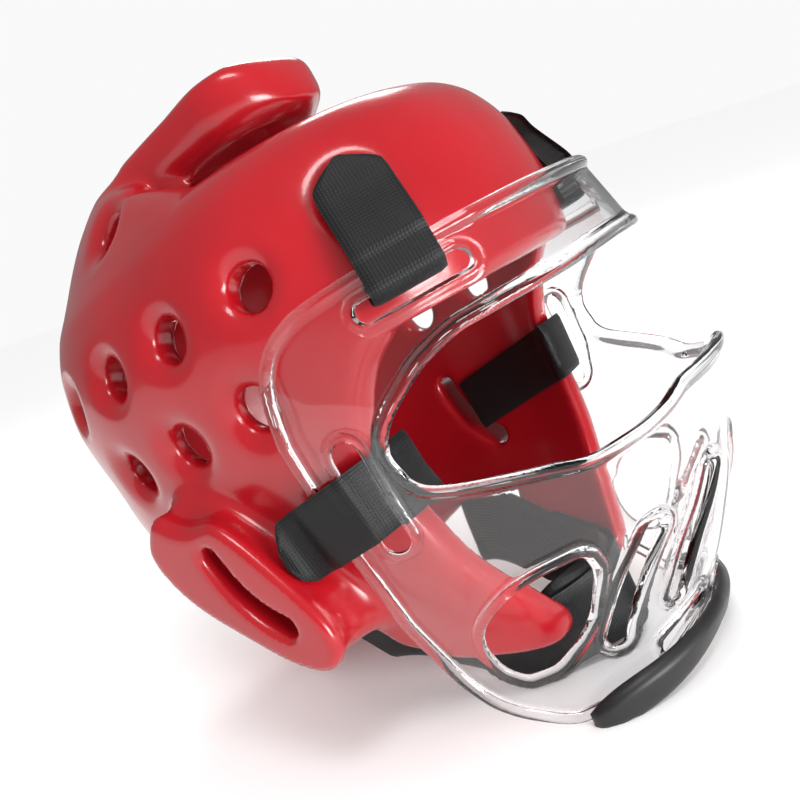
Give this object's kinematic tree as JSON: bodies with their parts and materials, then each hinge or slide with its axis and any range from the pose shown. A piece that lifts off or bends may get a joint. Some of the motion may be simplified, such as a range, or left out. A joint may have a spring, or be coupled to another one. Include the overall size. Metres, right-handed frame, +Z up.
{
  "type": "sparring headgear with clear face shield",
  "caption": "Dipped-foam martial arts headgear with round vents, a raised crown pad, ear guards and a strapped-on clear face shield.",
  "frame": {"origin": "middle of the bounding box at the plane the headgear rests on", "axes": "+Z up, the wearer faces -Y, +X is the wearer's left"},
  "size_m": [0.216, 0.29, 0.2669],
  "materials": {
    "shell": "glossy dipped foam skin",
    "shield": "clear polycarbonate",
    "webbing": "satin webbing",
    "cup": "soft matt padding",
    "rubber": "satin moulded rubber"
  },
  "bodies": {
    "root": {"shell": "shell", "face_shield": "shield", "temple_strap_right": "webbing", "temple_strap_left": "webbing", "jaw_strap_right": "webbing", "jaw_strap_left": "webbing", "chin_strap": "webbing", "chin_cup": "cup", "chin_pad": "rubber"}
  },
  "joints": []
}
